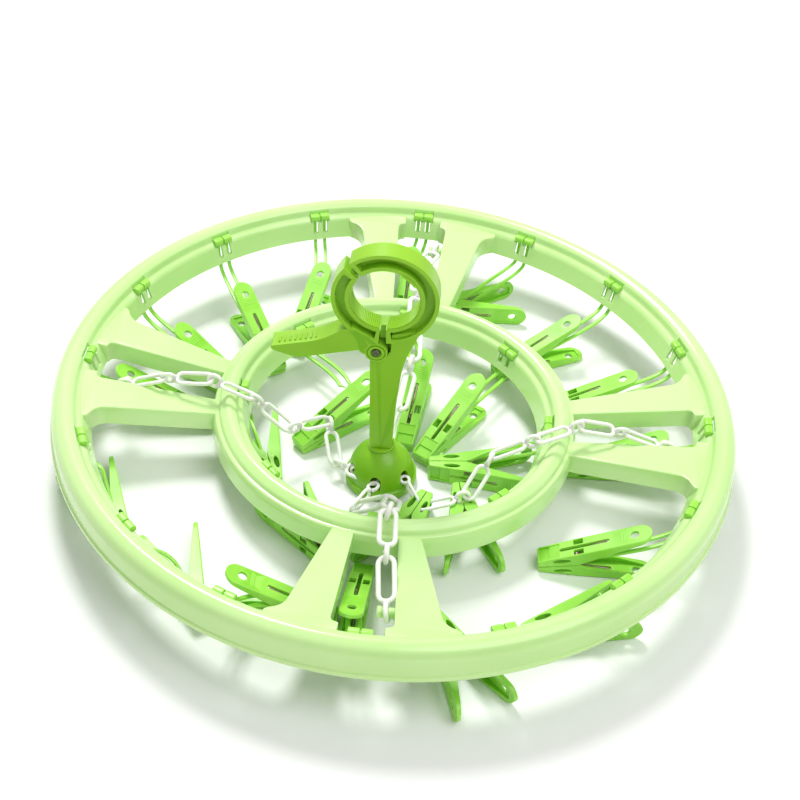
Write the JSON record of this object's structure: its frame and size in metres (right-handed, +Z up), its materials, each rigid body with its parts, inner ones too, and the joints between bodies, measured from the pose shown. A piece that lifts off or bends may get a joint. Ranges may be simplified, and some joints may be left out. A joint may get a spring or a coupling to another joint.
{
  "type": "clip drying hanger",
  "caption": "Round clip drying hanger: two moulded rings with strapped pegs, chains to a domed hub, and a swivelling rod clamp.",
  "frame": {"origin": "on the surface that the folded hanger lies on, below the centre of its outer ring", "axes": "+Z up, +X to the right and -Y to the front, each through a slot between two spokes"},
  "size_m": [0.3996, 0.3996, 0.165],
  "materials": {
    "pale_green_moulding": "glossy pale green moulded polypropylene",
    "peg_green_moulding": "satin bright green moulded polypropylene",
    "hook_green_moulding": "glossy olive green moulded plastic",
    "white_moulding": "milky white moulded plastic, slightly translucent",
    "rivet_steel": "dark plated steel"
  },
  "bodies": {
    "frame": {"outer_ring": "pale_green_moulding", "inner_ring": "pale_green_moulding", "chain_back": "white_moulding", "chain_right": "white_moulding", "chain_front": "white_moulding", "chain_left": "white_moulding"},
    "hub": {"hub_dome": "hook_green_moulding", "hub_base": "hook_green_moulding"},
    "hook": {"hook_arm": "hook_green_moulding", "hook_pin": "rivet_steel"},
    "lever": {"hook_lever": "hook_green_moulding"},
    "outer_peg_01": {"outer_peg_01_strap_jaw": "peg_green_moulding"},
    "outer_peg_01_jaw": {"outer_peg_01_sprung_jaw": "peg_green_moulding"},
    "outer_peg_02": {"outer_peg_02_strap_jaw": "peg_green_moulding"},
    "outer_peg_02_jaw": {"outer_peg_02_sprung_jaw": "peg_green_moulding"},
    "outer_peg_03": {"outer_peg_03_strap_jaw": "peg_green_moulding"},
    "outer_peg_03_jaw": {"outer_peg_03_sprung_jaw": "peg_green_moulding"},
    "outer_peg_04": {"outer_peg_04_strap_jaw": "peg_green_moulding"},
    "outer_peg_04_jaw": {"outer_peg_04_sprung_jaw": "peg_green_moulding"},
    "outer_peg_05": {"outer_peg_05_strap_jaw": "peg_green_moulding"},
    "outer_peg_05_jaw": {"outer_peg_05_sprung_jaw": "peg_green_moulding"},
    "outer_peg_06": {"outer_peg_06_strap_jaw": "peg_green_moulding"},
    "outer_peg_06_jaw": {"outer_peg_06_sprung_jaw": "peg_green_moulding"},
    "outer_peg_07": {"outer_peg_07_strap_jaw": "peg_green_moulding"},
    "outer_peg_07_jaw": {"outer_peg_07_sprung_jaw": "peg_green_moulding"},
    "outer_peg_08": {"outer_peg_08_strap_jaw": "peg_green_moulding"},
    "outer_peg_08_jaw": {"outer_peg_08_sprung_jaw": "peg_green_moulding"},
    "outer_peg_09": {"outer_peg_09_strap_jaw": "peg_green_moulding"},
    "outer_peg_09_jaw": {"outer_peg_09_sprung_jaw": "peg_green_moulding"},
    "outer_peg_10": {"outer_peg_10_strap_jaw": "peg_green_moulding"},
    "outer_peg_10_jaw": {"outer_peg_10_sprung_jaw": "peg_green_moulding"},
    "outer_peg_11": {"outer_peg_11_strap_jaw": "peg_green_moulding"},
    "outer_peg_11_jaw": {"outer_peg_11_sprung_jaw": "peg_green_moulding"},
    "outer_peg_12": {"outer_peg_12_strap_jaw": "peg_green_moulding"},
    "outer_peg_12_jaw": {"outer_peg_12_sprung_jaw": "peg_green_moulding"},
    "outer_peg_13": {"outer_peg_13_strap_jaw": "peg_green_moulding"},
    "outer_peg_13_jaw": {"outer_peg_13_sprung_jaw": "peg_green_moulding"},
    "outer_peg_14": {"outer_peg_14_strap_jaw": "peg_green_moulding"},
    "outer_peg_14_jaw": {"outer_peg_14_sprung_jaw": "peg_green_moulding"},
    "outer_peg_15": {"outer_peg_15_strap_jaw": "peg_green_moulding"},
    "outer_peg_15_jaw": {"outer_peg_15_sprung_jaw": "peg_green_moulding"},
    "outer_peg_16": {"outer_peg_16_strap_jaw": "peg_green_moulding"},
    "outer_peg_16_jaw": {"outer_peg_16_sprung_jaw": "peg_green_moulding"},
    "inner_peg_01": {"inner_peg_01_strap_jaw": "peg_green_moulding"},
    "inner_peg_01_jaw": {"inner_peg_01_sprung_jaw": "peg_green_moulding"},
    "inner_peg_02": {"inner_peg_02_strap_jaw": "peg_green_moulding"},
    "inner_peg_02_jaw": {"inner_peg_02_sprung_jaw": "peg_green_moulding"},
    "inner_peg_03": {"inner_peg_03_strap_jaw": "peg_green_moulding"},
    "inner_peg_03_jaw": {"inner_peg_03_sprung_jaw": "peg_green_moulding"},
    "inner_peg_04": {"inner_peg_04_strap_jaw": "peg_green_moulding"},
    "inner_peg_04_jaw": {"inner_peg_04_sprung_jaw": "peg_green_moulding"},
    "inner_peg_05": {"inner_peg_05_strap_jaw": "peg_green_moulding"},
    "inner_peg_05_jaw": {"inner_peg_05_sprung_jaw": "peg_green_moulding"},
    "inner_peg_06": {"inner_peg_06_strap_jaw": "peg_green_moulding"},
    "inner_peg_06_jaw": {"inner_peg_06_sprung_jaw": "peg_green_moulding"},
    "inner_peg_07": {"inner_peg_07_strap_jaw": "peg_green_moulding"},
    "inner_peg_07_jaw": {"inner_peg_07_sprung_jaw": "peg_green_moulding"},
    "inner_peg_08": {"inner_peg_08_strap_jaw": "peg_green_moulding"},
    "inner_peg_08_jaw": {"inner_peg_08_sprung_jaw": "peg_green_moulding"}
  },
  "joints": [
    {"name": "hub_lift", "type": "slide", "parent": "frame", "child": "hub", "axis": [0, 0, 1], "range_m": [0, 0.16], "deforming": ["chain_back", "chain_right", "chain_front", "chain_left"]},
    {"name": "hook_swivel", "type": "hinge", "parent": "hub", "child": "hook", "pos_m": [-0.004, -0.027, 0.0011], "axis": [-0.0523, 0, 0.9986], "continuous": true},
    {"name": "clamp_open", "type": "hinge", "parent": "hook", "child": "lever", "pos_m": [-0.01218, -0.027, 0.09981], "axis": [0, -1, 0], "range_deg": [0, 48]},
    {"name": "outer_peg_01_swing", "type": "hinge", "parent": "frame", "child": "outer_peg_01", "pos_m": [0, 0.183, 0.046], "axis": [1, 0, 0], "range_deg": [0, 50]},
    {"name": "outer_peg_01_open", "type": "hinge", "parent": "outer_peg_01", "child": "outer_peg_01_jaw", "pos_m": [-0.005, 0.127, 0.00829], "axis": [1, 0, 0], "range_deg": [0, 20], "stiffness_Nm_per_rad": 0.2, "springref_deg": -8.59},
    {"name": "outer_peg_02_swing", "type": "hinge", "parent": "frame", "child": "outer_peg_02", "pos_m": [0.07003, 0.16907, 0.046], "axis": [0.9239, -0.3827, 0], "range_deg": [0, 50]},
    {"name": "outer_peg_02_open", "type": "hinge", "parent": "outer_peg_02", "child": "outer_peg_02_jaw", "pos_m": [0.03179, 0.13945, 0.0065], "axis": [0, 0, 1], "range_deg": [0, 20], "stiffness_Nm_per_rad": 0.2, "springref_deg": -8.59},
    {"name": "outer_peg_03_swing", "type": "hinge", "parent": "frame", "child": "outer_peg_03", "pos_m": [0.1294, 0.1294, 0.046], "axis": [0.7071, -0.7071, 0], "range_deg": [0, 50]},
    {"name": "outer_peg_03_open", "type": "hinge", "parent": "outer_peg_03", "child": "outer_peg_03_jaw", "pos_m": [0.07708, 0.08839, 0.00829], "axis": [0.515, -0.8572, 0], "range_deg": [0, 20], "stiffness_Nm_per_rad": 0.2, "springref_deg": -8.59},
    {"name": "outer_peg_04_swing", "type": "hinge", "parent": "frame", "child": "outer_peg_04", "pos_m": [0.16907, 0.07003, 0.046], "axis": [0.3827, -0.9239, 0], "range_deg": [0, 50]},
    {"name": "outer_peg_04_open", "type": "hinge", "parent": "outer_peg_04", "child": "outer_peg_04_jaw", "pos_m": [0.10879, 0.04831, 0.00829], "axis": [0.2164, -0.9763, 0], "range_deg": [0, 20], "stiffness_Nm_per_rad": 0.2, "springref_deg": -8.59},
    {"name": "outer_peg_05_swing", "type": "hinge", "parent": "frame", "child": "outer_peg_05", "pos_m": [0.183, 0, 0.046], "axis": [0, -1, 0], "range_deg": [0, 50]},
    {"name": "outer_peg_05_open", "type": "hinge", "parent": "outer_peg_05", "child": "outer_peg_05_jaw", "pos_m": [0.125, -0.001, 0.00829], "axis": [0.1045, -0.9945, 0], "range_deg": [0, 20], "stiffness_Nm_per_rad": 0.2, "springref_deg": -8.59},
    {"name": "outer_peg_06_swing", "type": "hinge", "parent": "frame", "child": "outer_peg_06", "pos_m": [0.16907, -0.07003, 0.046], "axis": [-0.3827, -0.9239, 0], "range_deg": [0, 50]},
    {"name": "outer_peg_06_open", "type": "hinge", "parent": "outer_peg_06", "child": "outer_peg_06_jaw", "pos_m": [0.11194, -0.07992, 0.00829], "axis": [0.061, -0.9981, 0], "range_deg": [0, 20], "stiffness_Nm_per_rad": 0.2, "springref_deg": -8.59},
    {"name": "outer_peg_07_swing", "type": "hinge", "parent": "frame", "child": "outer_peg_07", "pos_m": [0.1294, -0.1294, 0.046], "axis": [-0.7071, -0.7071, 0], "range_deg": [0, 50]},
    {"name": "outer_peg_07_open", "type": "hinge", "parent": "outer_peg_07", "child": "outer_peg_07_jaw", "pos_m": [0.10253, -0.1294, 0.0065], "axis": [0, 0, -1], "range_deg": [0, 20], "stiffness_Nm_per_rad": 0.2, "springref_deg": -8.59},
    {"name": "outer_peg_08_swing", "type": "hinge", "parent": "frame", "child": "outer_peg_08", "pos_m": [0.07003, -0.16907, 0.046], "axis": [-0.9239, -0.3827, 0], "range_deg": [0, 46]},
    {"name": "outer_peg_08_open", "type": "hinge", "parent": "outer_peg_08", "child": "outer_peg_08_jaw", "pos_m": [0.04607, -0.15302, 0.0065], "axis": [0, 0, 1], "range_deg": [0, 20], "stiffness_Nm_per_rad": 0.2, "springref_deg": -8.59},
    {"name": "outer_peg_09_swing", "type": "hinge", "parent": "frame", "child": "outer_peg_09", "pos_m": [0, -0.183, 0.046], "axis": [-1, 0, 0], "range_deg": [0, 50]},
    {"name": "outer_peg_09_open", "type": "hinge", "parent": "outer_peg_09", "child": "outer_peg_09_jaw", "pos_m": [-0.006, -0.125, 0.00829], "axis": [-0.9994, 0.0349, 0], "range_deg": [0, 20], "stiffness_Nm_per_rad": 0.2, "springref_deg": -8.59},
    {"name": "outer_peg_10_swing", "type": "hinge", "parent": "frame", "child": "outer_peg_10", "pos_m": [-0.07003, -0.16907, 0.046], "axis": [-0.9239, 0.3827, 0], "range_deg": [0, 50]},
    {"name": "outer_peg_10_open", "type": "hinge", "parent": "outer_peg_10", "child": "outer_peg_10_jaw", "pos_m": [-0.03701, -0.14162, 0.00829], "axis": [-0.0087, 1, 0], "range_deg": [0, 20], "stiffness_Nm_per_rad": 0.2, "springref_deg": -8.59},
    {"name": "outer_peg_11_swing", "type": "hinge", "parent": "frame", "child": "outer_peg_11", "pos_m": [-0.1294, -0.1294, 0.046], "axis": [-0.7071, 0.7071, 0], "range_deg": [0, 50]},
    {"name": "outer_peg_11_open", "type": "hinge", "parent": "outer_peg_11", "child": "outer_peg_11_jaw", "pos_m": [-0.09687, -0.13364, 0.0065], "axis": [0, 0, 1], "range_deg": [0, 10], "stiffness_Nm_per_rad": 0.2, "springref_deg": -8.59},
    {"name": "outer_peg_12_swing", "type": "hinge", "parent": "frame", "child": "outer_peg_12", "pos_m": [-0.16907, -0.07003, 0.046], "axis": [-0.3827, 0.9239, 0], "range_deg": [0, 48]},
    {"name": "outer_peg_12_open", "type": "hinge", "parent": "outer_peg_12", "child": "outer_peg_12_jaw", "pos_m": [-0.15026, -0.0893, 0.0065], "axis": [0, 0, -1], "range_deg": [0, 18], "stiffness_Nm_per_rad": 0.2, "springref_deg": -8.59},
    {"name": "outer_peg_13_swing", "type": "hinge", "parent": "frame", "child": "outer_peg_13", "pos_m": [-0.183, 0, 0.046], "axis": [0, 1, 0], "range_deg": [0, 50]},
    {"name": "outer_peg_13_open", "type": "hinge", "parent": "outer_peg_13", "child": "outer_peg_13_jaw", "pos_m": [-0.132, 0.003, 0.00829], "axis": [0.0698, 0.9976, 0], "range_deg": [0, 20], "stiffness_Nm_per_rad": 0.2, "springref_deg": -8.59},
    {"name": "outer_peg_14_swing", "type": "hinge", "parent": "frame", "child": "outer_peg_14", "pos_m": [-0.16907, 0.07003, 0.046], "axis": [0.3827, 0.9239, 0], "range_deg": [0, 50]},
    {"name": "outer_peg_14_open", "type": "hinge", "parent": "outer_peg_14", "child": "outer_peg_14_jaw", "pos_m": [-0.11007, 0.03477, 0.00829], "axis": [0.4772, 0.8788, 0], "range_deg": [0, 20], "stiffness_Nm_per_rad": 0.2, "springref_deg": -8.59},
    {"name": "outer_peg_15_swing", "type": "hinge", "parent": "frame", "child": "outer_peg_15", "pos_m": [-0.1294, 0.1294, 0.046], "axis": [0.7071, 0.7071, 0], "range_deg": [0, 50]},
    {"name": "outer_peg_15_open", "type": "hinge", "parent": "outer_peg_15", "child": "outer_peg_15_jaw", "pos_m": [-0.09122, 0.07142, 0.00829], "axis": [0.8192, 0.5736, 0], "range_deg": [0, 20], "stiffness_Nm_per_rad": 0.2, "springref_deg": -8.59},
    {"name": "outer_peg_16_swing", "type": "hinge", "parent": "frame", "child": "outer_peg_16", "pos_m": [-0.07003, 0.16907, 0.046], "axis": [0.9239, 0.3827, 0], "range_deg": [0, 50]},
    {"name": "outer_peg_16_open", "type": "hinge", "parent": "outer_peg_16", "child": "outer_peg_16_jaw", "pos_m": [-0.06879, 0.09814, 0.00829], "axis": [0.9799, -0.1994, 0], "range_deg": [0, 20], "stiffness_Nm_per_rad": 0.2, "springref_deg": -8.59},
    {"name": "inner_peg_01_swing", "type": "hinge", "parent": "frame", "child": "inner_peg_01", "pos_m": [0, 0.091, 0.0326], "axis": [1, 0, 0], "range_deg": [0, 50]},
    {"name": "inner_peg_01_open", "type": "hinge", "parent": "inner_peg_01", "child": "inner_peg_01_jaw", "pos_m": [0.009, 0.019, 0.00829], "axis": [0.9945, -0.1045, 0], "range_deg": [0, 14], "stiffness_Nm_per_rad": 0.2, "springref_deg": -8.59},
    {"name": "inner_peg_02_swing", "type": "hinge", "parent": "frame", "child": "inner_peg_02", "pos_m": [0.06435, 0.06435, 0.0326], "axis": [0.7071, -0.7071, 0], "range_deg": [0, 50]},
    {"name": "inner_peg_02_open", "type": "hinge", "parent": "inner_peg_02", "child": "inner_peg_02_jaw", "pos_m": [0.02899, 0.00636, 0.00829], "axis": [0.848, -0.5299, 0], "range_deg": [0, 14], "stiffness_Nm_per_rad": 0.2, "springref_deg": -8.59},
    {"name": "inner_peg_03_swing", "type": "hinge", "parent": "frame", "child": "inner_peg_03", "pos_m": [0.091, 0, 0.0326], "axis": [0, -1, 0], "range_deg": [0, 34]},
    {"name": "inner_peg_03_open", "type": "hinge", "parent": "inner_peg_03", "child": "inner_peg_03_jaw", "pos_m": [0.045, -0.018, 0.0065], "axis": [0, 0, 1], "range_deg": [0, 20], "stiffness_Nm_per_rad": 0.2, "springref_deg": -8.59},
    {"name": "inner_peg_04_swing", "type": "hinge", "parent": "frame", "child": "inner_peg_04", "pos_m": [0.06435, -0.06435, 0.0326], "axis": [-0.7071, -0.7071, 0], "range_deg": [0, 28]},
    {"name": "inner_peg_04_open", "type": "hinge", "parent": "inner_peg_04", "child": "inner_peg_04_jaw", "pos_m": [0.04667, -0.05657, 0.0065], "axis": [0, 0, 1], "range_deg": [0, 20], "stiffness_Nm_per_rad": 0.2, "springref_deg": -8.59},
    {"name": "inner_peg_05_swing", "type": "hinge", "parent": "frame", "child": "inner_peg_05", "pos_m": [0, -0.091, 0.0326], "axis": [-1, 0, 0], "range_deg": [0, 6]},
    {"name": "inner_peg_05_open", "type": "hinge", "parent": "inner_peg_05", "child": "inner_peg_05_jaw", "pos_m": [0.017, -0.066, 0.0065], "axis": [0, 0, -1], "range_deg": [0, 18], "stiffness_Nm_per_rad": 0.2, "springref_deg": -8.59},
    {"name": "inner_peg_06_swing", "type": "hinge", "parent": "frame", "child": "inner_peg_06", "pos_m": [-0.06435, -0.06435, 0.0326], "axis": [-0.7071, 0.7071, 0], "range_deg": [0, 28]},
    {"name": "inner_peg_06_open", "type": "hinge", "parent": "inner_peg_06", "child": "inner_peg_06_jaw", "pos_m": [-0.03323, -0.0898, 0.0065], "axis": [0, 0, 1], "range_deg": [0, 12], "stiffness_Nm_per_rad": 0.2, "springref_deg": -8.59},
    {"name": "inner_peg_07_swing", "type": "hinge", "parent": "frame", "child": "inner_peg_07", "pos_m": [-0.091, 0, 0.0326], "axis": [0, 1, 0], "range_deg": [0, 8]},
    {"name": "inner_peg_07_open", "type": "hinge", "parent": "inner_peg_07", "child": "inner_peg_07_jaw", "pos_m": [-0.072, -0.031, 0.0065], "axis": [0, 0, 1], "range_deg": [0, 18], "stiffness_Nm_per_rad": 0.2, "springref_deg": -8.59},
    {"name": "inner_peg_08_swing", "type": "hinge", "parent": "frame", "child": "inner_peg_08", "pos_m": [-0.06435, 0.06435, 0.0326], "axis": [0.7071, 0.7071, 0], "range_deg": [0, 50]},
    {"name": "inner_peg_08_open", "type": "hinge", "parent": "inner_peg_08", "child": "inner_peg_08_jaw", "pos_m": [-0.04101, 0.00283, 0.00829], "axis": [0.6947, -0.7193, 0], "range_deg": [0, 20], "stiffness_Nm_per_rad": 0.2, "springref_deg": -8.59}
  ]
}
